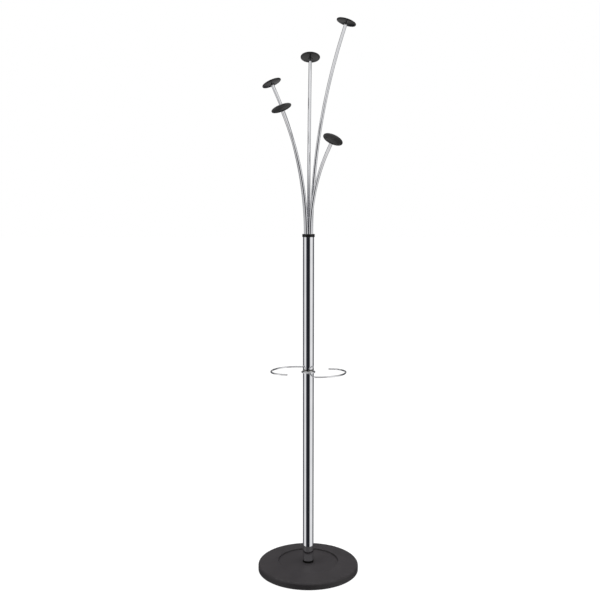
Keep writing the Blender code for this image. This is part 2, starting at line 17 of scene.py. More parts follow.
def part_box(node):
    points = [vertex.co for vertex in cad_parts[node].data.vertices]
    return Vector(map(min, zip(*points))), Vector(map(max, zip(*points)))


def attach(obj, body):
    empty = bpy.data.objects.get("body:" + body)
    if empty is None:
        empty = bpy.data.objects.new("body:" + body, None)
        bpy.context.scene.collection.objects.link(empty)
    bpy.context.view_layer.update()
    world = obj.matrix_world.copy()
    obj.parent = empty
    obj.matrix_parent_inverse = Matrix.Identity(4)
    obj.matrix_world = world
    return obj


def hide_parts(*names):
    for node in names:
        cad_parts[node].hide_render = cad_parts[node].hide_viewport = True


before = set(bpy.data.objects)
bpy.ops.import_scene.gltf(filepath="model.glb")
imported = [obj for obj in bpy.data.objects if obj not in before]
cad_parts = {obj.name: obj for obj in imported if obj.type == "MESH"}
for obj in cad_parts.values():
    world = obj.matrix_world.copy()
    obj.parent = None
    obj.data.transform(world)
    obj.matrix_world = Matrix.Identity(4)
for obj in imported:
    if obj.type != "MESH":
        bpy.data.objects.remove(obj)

Socket = bpy.types.NodeSocket
Band = tuple[float, float]
Triple = tuple[float, float, float]
Inputs = dict[str | int, Socket | float | Sequence[float]]

LOG = logging.getLogger("coat_rack")
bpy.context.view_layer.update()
UP = Vector((0.0, 0.0, 1.0))
MERGE_DISTANCE = 0.000005
DRESSED: dict[str, bpy.types.Material] = {}


class Body(Enum):
    """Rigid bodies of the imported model."""

    STAND = "stand"
    HOLDER = "umbrella_holder"


class Slot(Enum):
    """Material slots of the record."""

    GREY_PAINT = "grey_paint"
    CHROME = "chrome"
    CAST_IRON = "cast_iron"
    ZINC_STEEL = "zinc_steel"
    BLACK_PLASTIC = "black_plastic"
    KNOB_PLASTIC = "knob_plastic"
    BLACK_RUBBER = "black_rubber"


# -------------------- node boards
class Grain(NamedTuple):
    """A noise pattern: features per metre, octaves of finer noise, their strength and a stretch by axis."""

    scale: float
    detail: float = 3.0
    rough: float = 0.5
    stretch: Optional[Triple] = None


class Relief(NamedTuple):
    """Surface relief: metres that a height of 1 stands for, and how much of it shows."""

    depth: float
    strength: float


class NodeBoard:
    """A node tree, with short calls that add and wire its nodes."""

    def __init__(self, tree: bpy.types.NodeTree) -> None:
        """Take the tree to work on."""
        self.tree = tree

    def fill(self, node: bpy.types.Node, inputs: Inputs) -> None:
        """Fill a node's inputs.

        Args:
            node: the node.
            inputs: plain values, or sockets to wire, by the input's name or number.
        """
        for key, value in inputs.items():
            if isinstance(value, Socket):
                self.tree.links.new(value, node.inputs[key])
            else:
                node.inputs[key].default_value = value

    def add(self, kind: str, inputs: Inputs, **settings: str) -> bpy.types.Node:
        """Add a node.

        Args:
            kind: the node's type, without the word that all of them start with.
            inputs: plain values, or sockets to wire, by the input's name or number.
            settings: the node's own properties.

        Returns:
            The node.
        """
        node = self.tree.nodes.new("ShaderNode" + kind)
        for name, value in settings.items():
            setattr(node, name, value)
        self.fill(node, inputs)
        return node

    def math(self, operation: str, *values: Socket | float) -> Socket:
        """Combine values, each a socket or a number, by one of the Math node's operations."""
        return self.add("Math", dict(enumerate(values)), operation=operation).outputs[0]

    def spread(self, value: Socket, source: Band, target: Band = (0.0, 1.0)) -> Socket:
        """Map one range of values onto another, clamped at both ends.

        Args:
            value: the socket to map.
            source: the first and last value read.
            target: the values they become.

        Returns:
            The mapped value.
        """
        inputs = {"Value": value, "From Min": source[0], "From Max": source[1], "To Min": target[0],
                  "To Max": target[1]}
        return self.add("MapRange", inputs).outputs["Result"]

    def blend(self, amount: Socket, near: Socket | Triple, far: Socket | Triple) -> Socket:
        """Blend two colours.

        Args:
            amount: the share of the second colour.
            near: the first colour, as a socket or plain red, green and blue.
            far: the second colour, in the same way.

        Returns:
            The blended colour.
        """
        first, second = (color if isinstance(color, Socket) else (*color, 1.0) for color in (near, far))
        inputs = {"Factor": amount, "A": first, "B": second}
        return self.add("Mix", inputs, data_type="RGBA").outputs["Result"]


class ShaderBoard(NodeBoard):
    """The board of a new material, with the patterns that finishes are made of."""

    def __init__(self, name: str) -> None:
        """Start the material.

        Args:
            name: the material's name.
        """
        self.material = bpy.data.materials.new(name)
        self.material.use_nodes = True
        super().__init__(self.material.node_tree)
        self.surface = self.tree.nodes["Principled BSDF"]
        self.place = self.add("TexCoord", {}).outputs["Object"]

    def dress(self, inputs: Inputs) -> None:
        """Fill the surface shader's own inputs."""
        self.fill(self.surface, inputs)

    def stretched(self, scale: Triple) -> Socket:
        """Object coordinates scaled by a factor along each axis, for marks that run one way."""
        return self.add("Mapping", {"Vector": self.place, "Scale": scale}).outputs["Vector"]

    def noise(self, grain: Grain) -> Socket:
        """Fractal noise over the surface.

        Args:
            grain: the pattern.

        Returns:
            The noise value, around 0.5.
        """
        place = self.stretched(grain.stretch) if grain.stretch else self.place
        return self.add("TexNoise", {"Vector": place, "Scale": grain.scale, "Detail": grain.detail,
                                     "Roughness": grain.rough}).outputs["Fac"]

    def cells(self, scale: float) -> Socket:
        """Distance to the nearest of scattered points, so many to a metre, for pits."""
        return self.add("TexVoronoi", {"Vector": self.place, "Scale": scale}).outputs["Distance"]

    def axis_distance(self) -> Socket:
        """Distance from the pole's axis, in metres."""
        flat = self.stretched((1.0, 1.0, 0.0))
        return self.add("VectorMath", {0: flat}, operation="LENGTH").outputs["Value"]

    def relief(self, height: Socket, relief: Relief) -> None:
        """Add surface relief to the shader; a second call adds to the first.

        Args:
            height: the height value.
            relief: the relief's depth and strength.
        """
        bump = self.add("Bump", {"Height": height, "Distance": relief.depth, "Strength": relief.strength})
        earlier = self.surface.inputs["Normal"].links
        if earlier:
            self.fill(bump, {"Normal": earlier[0].from_socket})
        self.dress({"Normal": bump.outputs["Normal"]})


# -------------------- finishes
@dataclass(frozen=True)
class Finish:
    """What every finish has: a name and the record's slot that it stands for."""

    name: str
    slot: Slot

    def build(self) -> bpy.types.Material:
        """Make the material, unless it is already made.

        Returns:
            The material.
        """
        if self.name not in DRESSED:
            board = ShaderBoard(self.name)
            self.wire(board)
            DRESSED[self.name] = board.material
        return DRESSED[self.name]

    def wire(self, board: ShaderBoard) -> None:
        """Add the finish's own nodes to the board."""
        raise NotImplementedError


@dataclass(frozen=True)
class ChromeFinish(Finish):
    """Polished chrome plate with polishing haze, hairline marks and faint handling smears."""

    base: Triple = (0.80, 0.80, 0.82)
    warm: Triple = (0.74, 0.745, 0.765)
    warm_band: Band = (0.35, 0.7)
    polish: Band = (0.018, 0.060)
    polish_band: Band = (0.40, 0.72)
    hair_haze: Band = (0.0, 0.05)
    hair_band: Band = (0.60, 0.80)
    smears: Grain = Grain(22.0, 4.0, 0.6)
    hairs: Grain = Grain(1.0, 2.0, 0.5, (900.0, 900.0, 14.0))
    ripple: Grain = Grain(160.0, 1.0)
    ripple_relief: Relief = Relief(0.00002, 0.12)

    def wire(self, board: ShaderBoard) -> None:
        """Metal with a roughness that varies by smears and by hairlines along the pole.

        Args:
            board: the material's board.
        """
        smears = board.noise(self.smears)
        broad = board.spread(smears, self.polish_band, self.polish)
        fine = board.spread(board.noise(self.hairs), self.hair_band, self.hair_haze)
        board.dress({"Metallic": 1.0, "Roughness": board.math("ADD", broad, fine),
                     "Base Color": board.blend(board.spread(smears, self.warm_band), self.base, self.warm)})
        board.relief(board.noise(self.ripple), self.ripple_relief)


@dataclass(frozen=True)
class PowderCoatFinish(Finish):
    """Fine-textured matt powder coat with a slight mottle, and a lighter band round the shoulder that is
    partly wear and partly a painted highlight.
    """

    base: Triple = (0.0322, 0.0292, 0.0314)
    mottle: Triple = (0.0425, 0.0387, 0.0413)
    # painted highlight and wear: the lighter colour of the band round the rounded shoulder
    highlight_wear_tone: Triple = (0.058, 0.057, 0.059)
    specular: float = 0.30
    clouds: Grain = Grain(14.0, 5.0, 0.6)
    speckle: Grain = Grain(1400.0, 2.0, 0.6)
    speckle_share: float = 0.3
    tone_band: Band = (0.38, 0.62)
    matt: Band = (0.50, 0.62)
    matt_band: Band = (0.35, 0.65)
    highlight_wear_radius: float = 0.171
    highlight_wear_width: float = 0.005
    highlight_wear_patches: Grain = Grain(55.0, 4.0, 0.65)
    highlight_wear_band: Band = (0.52, 0.72)
    highlight_wear_gloss: float = 0.14
    grain_relief: Relief = Relief(0.00022, 0.35)
    pits: float = 620.0
    pit_relief: Relief = Relief(0.00015, 0.18)

    def wire(self, board: ShaderBoard) -> None:
        """Grain relief, two scales of tone and a lighter, smoother band round the shoulder, whose lighter
        colour is partly wear and partly a painted highlight.

        Args:
            board: the material's board.
        """
        clouds = board.noise(self.clouds)
        speckle = board.noise(self.speckle)
        tone = board.math("ADD", board.math("MULTIPLY", clouds, 1.0 - self.speckle_share),
                          board.math("MULTIPLY", speckle, self.speckle_share))
        body = board.blend(board.spread(tone, self.tone_band), self.base, self.mottle)
        # painted highlight along the rounded shoulder, also standing for wear: a patchy band that is lighter
        # and smoother
        offset = board.math("ABSOLUTE", board.math("SUBTRACT", board.axis_distance(), self.highlight_wear_radius))
        near_edge = board.spread(offset, (0.0, self.highlight_wear_width), (1.0, 0.0))
        highlight_wear_mask = board.math("MULTIPLY", near_edge, board.spread(board.noise(self.highlight_wear_patches), self.highlight_wear_band))
        flat = board.spread(clouds, self.matt_band, self.matt)
        board.dress({"Specular IOR Level": self.specular, "Base Color": board.blend(highlight_wear_mask, body, self.highlight_wear_tone),
                     "Roughness": board.math("SUBTRACT", flat, board.math("MULTIPLY", highlight_wear_mask, self.highlight_wear_gloss))})
        board.relief(speckle, self.grain_relief)
        board.relief(board.cells(self.pits), self.pit_relief)


@dataclass(frozen=True)
class MouldedPlasticFinish(Finish):
    """Black moulded plastic with a fine spark-eroded grain and handling shine."""

    base: Triple = (0.0075, 0.0072, 0.0073)
    lighter: Triple = (0.0115, 0.0109, 0.0111)
    matt: float = 0.29
    shine: float = 0.17
    specular: float = 0.46
    drift: Grain = Grain(45.0, 3.0, 0.55)
    drift_band: Band = (0.36, 0.64)
    grain: Grain = Grain(2600.0, 2.0)
    grain_band: Band = (0.4, 0.6)
    grain_haze: Band = (-0.03, 0.03)
    grain_relief: Relief = Relief(0.00008, 0.30)

    def wire(self, board: ShaderBoard) -> None:
        """Fine grain, a soft change of tone and smoother patches where hands rub.

        Args:
            board: the material's board.
        """
        drift = board.noise(self.drift)
        grain = board.noise(self.grain)
        broad = board.spread(drift, self.drift_band, (self.shine, self.matt))
        fine = board.spread(grain, self.grain_band, self.grain_haze)
        tone = board.spread(drift, self.drift_band)
        board.dress({"Specular IOR Level": self.specular, "Roughness": board.math("ADD", broad, fine),
                     "Base Color": board.blend(tone, self.base, self.lighter)})
        board.relief(grain, self.grain_relief)


@dataclass(frozen=True)
class ZincFinish(Finish):
    """Zinc-plated steel: a faint crystal bloom and turning marks."""

    base: Triple = (0.50, 0.51, 0.52)
    bloom: Triple = (0.62, 0.61, 0.58)
    crystals: Grain = Grain(180.0, 4.0, 0.6)
    bloom_band: Band = (0.35, 0.65)
    haze: Band = (0.24, 0.42)
    haze_band: Band = (0.3, 0.7)
    turning: Grain = Grain(1.0, 2.0, 0.5, (300.0, 300.0, 2600.0))
    turning_relief: Relief = Relief(0.00006, 0.25)

    def wire(self, board: ShaderBoard) -> None:
        """Metal with patchy tone, uneven roughness and fine relief.

        Args:
            board: the material's board.
        """
        patches = board.noise(self.crystals)
        tone = board.spread(patches, self.bloom_band)
        board.dress({"Metallic": 1.0, "Roughness": board.spread(patches, self.haze_band, self.haze),
                     "Base Color": board.blend(tone, self.base, self.bloom)})
        board.relief(board.noise(self.turning), self.turning_relief)


@dataclass(frozen=True)
class CastIronFinish(Finish):
    """Sand-cast iron with a coarse skin and a little brown bloom."""

    base: Triple = (0.075, 0.072, 0.070)
    bloom: Triple = (0.120, 0.088, 0.066)
    metal: float = 0.6
    skin: Grain = Grain(420.0, 5.0, 0.7)
    stain: Grain = Grain(30.0, 4.0, 0.6)
    stain_band: Band = (0.45, 0.70)
    matt: Band = (0.62, 0.85)
    matt_band: Band = (0.3, 0.7)
    skin_relief: Relief = Relief(0.0008, 0.6)

    def wire(self, board: ShaderBoard) -> None:
        """Rough relief and two tones.

        Args:
            board: the material's board.
        """
        skin = board.noise(self.skin)
        stain = board.spread(board.noise(self.stain), self.stain_band)
        board.dress({"Metallic": self.metal, "Roughness": board.spread(skin, self.matt_band, self.matt),
                     "Base Color": board.blend(stain, self.base, self.bloom)})
        board.relief(skin, self.skin_relief)


@dataclass(frozen=True)
class RubberFinish(Finish):
    """Matt black rubber with a dusty bloom."""

    base: Triple = (0.017, 0.017, 0.017)
    dusty: Triple = (0.036, 0.035, 0.033)
    dust: Grain = Grain(70.0, 4.0, 0.65)
    dust_band: Band = (0.45, 0.70)
    matt: Band = (0.70, 0.88)
    matt_band: Band = (0.3, 0.7)
    grain: Grain = Grain(1500.0, 2.0)
    grain_relief: Relief = Relief(0.0001, 0.3)

    def wire(self, board: ShaderBoard) -> None:
        """Dusty patches over a fine grain.

        Args:
            board: the material's board.
        """
        dust = board.noise(self.dust)
        board.dress({"Roughness": board.spread(dust, self.matt_band, self.matt),
                     "Base Color": board.blend(board.spread(dust, self.dust_band), self.base, self.dusty)})
        board.relief(board.noise(self.grain), self.grain_relief)


CHROME = ChromeFinish("polished_chrome", Slot.CHROME)
POWDER_COAT = PowderCoatFinish("grey_powder_coat", Slot.GREY_PAINT)
KNOB_PLASTIC = MouldedPlasticFinish("satin_knob_plastic", Slot.KNOB_PLASTIC)
TRIM_PLASTIC = MouldedPlasticFinish("trim_plastic", Slot.BLACK_PLASTIC, matt=0.38, shine=0.28,
                                    specular=0.32)
GASKET = MouldedPlasticFinish("gasket_plastic", Slot.BLACK_PLASTIC, base=(0.0035, 0.0034, 0.0034),
                              lighter=(0.0060, 0.0057, 0.0058), matt=0.62, shine=0.50, specular=0.16)
ZINC = ZincFinish("zinc_plate", Slot.ZINC_STEEL)
CAST_IRON = CastIronFinish("cast_iron_skin", Slot.CAST_IRON)
RUBBER = RubberFinish("dusty_rubber", Slot.BLACK_RUBBER)


# -------------------- outlines
@dataclass(frozen=True)
class Corner:
    """A corner of a turned piece's section: distance from the axis, height and fillet radius."""

    radius: float
    height: float
    fillet: float = 0.0


def arc_points(center: Vector, radius: float, start: float, end: float, steps: int) -> list[Vector]:
    """Points on an arc in a plane.

    Args:
        center: the arc's centre.
        radius: the arc's radius.
        start: the first angle, in radians.
        end: the last angle, in radians.
        steps: the number of chords.

    Returns:
        The points, both ends included.
    """
    angles = [start + (end - start) * step / steps for step in range(steps + 1)]
    return [center + Vector((cos(angle), sin(angle))) * radius for angle in angles]


def dome_corners(edge: float, level: float, rise: float, inner: float, steps: int) -> list[Corner]:
    """Corners along a shallow spherical dome, from an inner radius out to its edge.

    Args:
        edge: the dome's edge radius.
        level: the height of the edge.
        rise: how far the crown stands above the edge, negative for a dome that hangs down.
        inner: the radius at which the corners start.
        steps: the number of chords.

    Returns:
        The corners, from the inner radius to the edge.
    """
    sphere = (edge ** 2 + rise ** 2) / (2 * abs(rise))
    side = 1 if rise > 0 else -1
    center = level + rise - side * sphere
    radii = [inner + (edge - inner) * sin(pi / 2 * step / steps) for step in range(steps + 1)]
    return [Corner(r, center + side * sqrt(sphere ** 2 - r ** 2)) for r in radii]


@dataclass
class Outline:
    """Section of a turned piece. It closes on itself unless it starts and ends on the axis.

    Beside a fillet, a point stands a distance of hold along each straight side that has room for hold_room
    such distances, and keeps the side's shading flat.
    """

    corners: Sequence[Corner]
    fillet_steps: int = 5
    hold: float = 0.0004
    hold_room: float = 4.0

    def points(self) -> list[Vector]:
        """Corners with their fillets drawn in.

        Returns:
            Points as (distance from the axis, height).
        """
        places = [Vector((corner.radius, corner.height)) for corner in self.corners]
        count = len(places)
        drawn = []
        for index, corner in enumerate(self.corners):
            if corner.fillet <= 0:
                drawn.append(places[index])
                continue
            after = places[(index + 1) % count]
            drawn += self.fillet(places[index], places[index - 1], after, corner.fillet)
        return drawn

    def fillet(self, corner: Vector, before: Vector, after: Vector, radius: float) -> list[Vector]:
        """Points of the fillet that rounds one corner.

        Args:
            corner: the sharp corner.
            before: the corner before it.
            after: the corner after it.
            radius: the fillet's radius.

        Returns:
            The fillet's points, from the side of the corner before to that of the corner after.
        """
        inward = (before - corner).normalized()
        onward = (after - corner).normalized()
        half = inward.angle(onward) / 2
        reach = radius / tan(half)
        center = corner + (inward + onward).normalized() * (radius / sin(half))
        first = corner + inward * reach - center
        last = corner + onward * reach - center
        start = atan2(first.y, first.x)
        sweep = (atan2(last.y, last.x) - start + pi) % (2 * pi) - pi
        points = arc_points(center, radius, start, start + sweep, self.fillet_steps)
        room = reach + self.hold_room * self.hold
        if (before - corner).length > room:
            points.insert(0, corner + inward * (reach + self.hold))
        if (after - corner).length > room:
            points.append(corner + onward * (reach + self.hold))
        return points


def ring_section(inner: float, outer: float, bottom: float, top: float, fillet: float) -> Outline:
    """Section of a plain tube or ring with rounded edges.

    Args:
        inner: the bore's radius.
        outer: the outer radius.
        bottom: the lower level.
        top: the upper level.
        fillet: the radius of its edges.

    Returns:
        The outline.
    """
    return Outline([Corner(outer, top, fillet), Corner(outer, bottom, fillet), Corner(inner, bottom, fillet),
                    Corner(inner, top, fillet)], fillet_steps=3)


# -------------------- pieces
def settled(name: str, mesh: bmesh.types.BMesh) -> bpy.types.Mesh:
    """Turn a worked mesh into mesh data, and free it.

    Args:
        name: the data's name.
        mesh: the worked mesh.

    Returns:
        The mesh data.
    """
    data = bpy.data.meshes.new(name)
    mesh.to_mesh(data)
    mesh.free()
    return data


def placed(name: str, data: bpy.types.ID) -> bpy.types.Object:
    """Put a new object into the scene.

    Args:
        name: the object's name.
        data: its mesh, lamp or camera.

    Returns:
        The object.
    """
    thing = bpy.data.objects.new(name, data)
    bpy.context.scene.collection.objects.link(thing)
    return thing


class Workpiece:
    """A piece while its mesh is being made, and the way it enters the scene."""

    def __init__(self, name: str) -> None:
        """Start an empty mesh.

        Args:
            name: the piece's name.
        """
        self.name = name
        self.mesh = bmesh.new()

    def turn(self, outline: Outline, steps: int, place: Optional[Matrix] = None) -> None:
        """Turn an outline about the Z axis of a place.

        Args:
            outline: the section.
            steps: the number of sides.
            place: where the turned shape goes, or None for the pole's own axis.
        """
        points = outline.points()
        verts = [self.mesh.verts.new((point.x, 0.0, point.y)) for point in points]
        pairs = list(zip(verts, verts[1:]))
        if points[0].x > MERGE_DISTANCE or points[-1].x > MERGE_DISTANCE:
            pairs.append((verts[-1], verts[0]))
        edges = [self.mesh.edges.new(pair) for pair in pairs]
        bmesh.ops.spin(self.mesh, geom=verts + edges, cent=(0, 0, 0), axis=UP, angle=2 * pi, steps=steps,
                       use_merge=True)
        if place is not None:
            bmesh.ops.transform(self.mesh, matrix=place, verts=self.mesh.verts)

    def close(self) -> None:
        """Merge doubled points and turn every face outwards."""
        bmesh.ops.remove_doubles(self.mesh, verts=self.mesh.verts, dist=MERGE_DISTANCE)
        bmesh.ops.recalc_face_normals(self.mesh, faces=self.mesh.faces)

    def enter(self, finish: Finish, body: Body, *stands_for: str, crease: float = 40.0) -> bpy.types.Object:
        """Make the object, dress it and let it ride.

        Args:
            finish: the surface finish.
            body: the body it moves with.
            stands_for: the CAD nodes that it replaces.
            crease: the angle in degrees above which an edge stays sharp.

        Returns:
            The new object.
        """
        self.close()
        data = settled(self.name, self.mesh)
        data.shade_smooth()
        data.set_sharp_from_angle(angle=radians(crease))
        data.materials.append(finish.build())
        piece = placed(self.name, data)
        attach(piece, body.value)
        if stands_for:
            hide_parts(*stands_for)
        LOG.info("%s: %d faces, rides on %s", self.name, len(data.polygons), body.value)
        return piece


class BentBar(Workpiece):
    """Round bar drawn from a circle by straight runs and bends, as a bender makes it."""

    def __init__(self, name: str, radius: float, start: Vector, direction: Vector, sides: int) -> None:
        """Place the first circle.

        Args:
            name: the piece's name.
            radius: the bar's radius.
            start: the middle of its first end.
            direction: the way it sets off.
            sides: the number of sides of its section.
        """
        super().__init__(name)
        self.radius = radius
        self.tip = start.copy()
        self.heading = direction.normalized()
        place = Matrix.Translation(start) @ self.heading.to_track_quat("Z", "Y").to_matrix().to_4x4()
        made = bmesh.ops.create_circle(self.mesh, cap_ends=False, radius=radius, segments=sides, matrix=place)
        self.edges = list({edge for vert in made["verts"] for edge in vert.link_edges})
        self.first_edges = list(self.edges)

    def _step(self, advance: float, shrink: float = 1.0) -> None:
        """Draw the bar on by one ring of faces.

        Args:
            advance: how far.
            shrink: the factor by which its section changes.
        """
        made = bmesh.ops.extrude_edge_only(self.mesh, edges=self.edges)["geom"]
        verts = [item for item in made if isinstance(item, bmesh.types.BMVert)]
        known = set(verts)
        self.edges = [item for item in made if isinstance(item, bmesh.types.BMEdge)
                      and item.verts[0] in known and item.verts[1] in known]
        self.tip += self.heading * advance
        bmesh.ops.translate(self.mesh, verts=verts, vec=self.heading * advance)
        if shrink != 1.0:
            bmesh.ops.scale(self.mesh, verts=verts, vec=(shrink, shrink, shrink),
                            space=Matrix.Translation(-self.tip))

    def run(self, length: float, steps: int) -> None:
        """Draw the bar straight on.

        Args:
            length: how far.
            steps: the number of rings of faces.
        """
        for _ in range(steps):
            self._step(length / steps)

    def bend(self, radius: float, angle: float, towards: Vector, steps: int) -> None:
        """Bend the bar on an arc.

        Args:
            radius: the bend's radius, at the bar's centre line.
            angle: the angle it turns through, in radians.
            towards: the side it bends to.
            steps: the number of rings of faces.
        """
        side = (towards - self.heading * towards.dot(self.heading)).normalized()
        axis = self.heading.cross(side).normalized()
        center = self.tip + side * radius
        verts = list({vert for edge in self.edges for vert in edge.verts})
        last = bmesh.ops.spin(self.mesh, geom=verts + self.edges, cent=center, axis=axis, angle=angle,
                              steps=steps)["geom_last"]
        self.edges = [item for item in last if isinstance(item, bmesh.types.BMEdge)]
        turn = Matrix.Rotation(angle, 3, axis)
        self.tip = center + turn @ (self.tip - center)
        self.heading = (turn @ self.heading).normalized()

    def round_end(self, flatness: float = 0.6, share: float = 0.96, steps: int = 5) -> None:
        """Close the leading end with a flat dome.

        Args:
            flatness: the dome's height, as a share of the bar's radius.
            share: how much of the dome is drawn before its flat tip.
            steps: the number of rings of faces.
        """
        earlier = 0.0
        for step in range(1, steps + 1):
            angle = pi / 2 * step / steps * share
            self._step(self.radius * flatness * (sin(angle) - sin(earlier)), cos(angle) / cos(earlier))
            earlier = angle
        self.cap(self.edges)

    def cap(self, edges: Iterable[bmesh.types.BMEdge]) -> None:
        """Close a ring of edges with one face."""
        bmesh.ops.contextual_create(self.mesh, geom=list(edges))

    def cap_start(self) -> None:
        """Close the end that the bar was started from."""
        self.cap(self.first_edges)


# -------------------- sub-assemblies
@dataclass
class RoundBase:
    """Weighted base: pressed cover with a drip recess, and what it hides."""

    wall: float = 0.002
    rim_clearance: float = 0.001
    shoulder_level: float = 0.02315
    shoulder_fillet: float = 0.008
    lip_radius: float = 0.105
    lip_level: float = 0.0311
    lip_fillet: float = 0.0013
    recess_draft: float = 0.0012
    recess_depth: float = 0.0056
    recess_fillet: float = 0.0012
    seat_radius: float = 0.022
    seat_rise: float = 0.0008
    bolt_hole: float = 0.0066
    foot_ring_width: float = 0.018
    foot_fillet: float = 0.0007
    sides: int = 224

    def cover_outline(self) -> Outline:
        """Section of the pressed cover.

        Returns:
            The outline: the outer skin first, then the inner skin back to the rim.
        """
        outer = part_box("base_cover")[1][0]
        floor = self.lip_level - self.recess_depth
        seat = floor + self.seat_rise
        floor_radius = self.lip_radius - self.recess_draft
        skin = [
            Corner(outer, self.rim_clearance, self.wall / 3),
            Corner(outer, self.shoulder_level, self.shoulder_fillet),
            Corner(self.lip_radius, self.lip_level, self.lip_fillet),
            Corner(floor_radius, floor, self.recess_fillet),
            Corner(self.seat_radius + self.seat_rise, floor, self.seat_rise / 2),
            Corner(self.seat_radius, seat, self.seat_rise / 2),
            Corner(self.bolt_hole, seat),
        ]
        inside = [
            Corner(self.bolt_hole, seat - self.wall),
            Corner(self.seat_radius, seat - self.wall),
            Corner(self.seat_radius + self.seat_rise, floor - self.wall),
            Corner(floor_radius + self.wall, floor - self.wall, self.wall / 2),
            Corner(self.lip_radius + self.wall, self.lip_level - self.wall - self.wall / 4, self.wall / 2),
            Corner(outer - self.wall, self.shoulder_level - self.wall, self.shoulder_fillet - self.wall),
            Corner(outer - self.wall, self.rim_clearance, self.wall / 3),
        ]
        return Outline(skin + inside, fillet_steps=8)

    def build(self) -> None:
        """Make the cover and foot ring, and dress the hidden CAD parts."""
        cover = Workpiece("base_cover_skin")
        cover.turn(self.cover_outline(), self.sides)
        cover.enter(POWDER_COAT, Body.STAND, "base_cover")

        low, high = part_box("foot_ring")
        ring = Workpiece("foot_ring_moulding")
        inner = high[0] - self.foot_ring_width
        ring.turn(ring_section(inner, high[0], low[2], high[2], self.foot_fillet), self.sides)
        ring.enter(RUBBER, Body.STAND, "foot_ring")

        dress_nodes(CAST_IRON, ["ballast_weight"])
        dress_nodes(ZINC, ["base_plate", "base_bolt", "base_washer"])
        dress_nodes(ZINC, [f"base_plate_screw_{number}" for number in (1, 2, 3)])


@dataclass
class Pole:
    """Two chromed tubes with the foot ferrule, the joint and the plugs inside."""

    wall: float = 0.0015
    edge_fillet: float = 0.0003
    ferrule_bore: float = 0.0066
    ferrule_chamfer: float = 0.0009
    washer_bore: float = 0.0056
    washer_fillet: float = 0.0004
    sides: int = 128

    def build(self) -> None:
        """Make the tubes, the ferrule and the joint washer, and dress the plugs."""
        for name in ("lower_tube", "upper_tube"):
            low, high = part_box(name)
            section = ring_section(high[0] - self.wall, high[0], low[2], high[2], self.edge_fillet)
            tube = Workpiece(name + "_plated")
            tube.turn(section, self.sides)
            tube.enter(CHROME, Body.STAND, name)
        self.build_ferrule()
        self.build_washer()
        dress_nodes(ZINC, ["foot_plug", "joint_coupler", "joint_stud", "upper_joint_plug"])

    def build_ferrule(self) -> None:
        """Black ring between the base and the lower tube, with a tapered toe."""
        low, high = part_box("foot_ferrule")
        radius = high[0]
        toe = self.ferrule_chamfer
        outline = Outline([
            Corner(radius, high[2], self.edge_fillet),
            Corner(radius, low[2] + toe, toe / 2),
            Corner(radius - toe, low[2], toe / 4),
            Corner(self.ferrule_bore, low[2]),
            Corner(self.ferrule_bore, high[2]),
        ], fillet_steps=4)
        ferrule = Workpiece("foot_ferrule_moulding")
        ferrule.turn(outline, self.sides)
        ferrule.enter(GASKET, Body.STAND, "foot_ferrule")

    def build_washer(self) -> None:
        """Black washer between the two tubes."""
        low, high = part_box("joint_washer")
        section = ring_section(self.washer_bore, high[0], low[2], high[2], self.washer_fillet)
        washer = Workpiece("joint_washer_moulding")
        washer.turn(section, self.sides)
        washer.enter(GASKET, Body.STAND, "joint_washer")


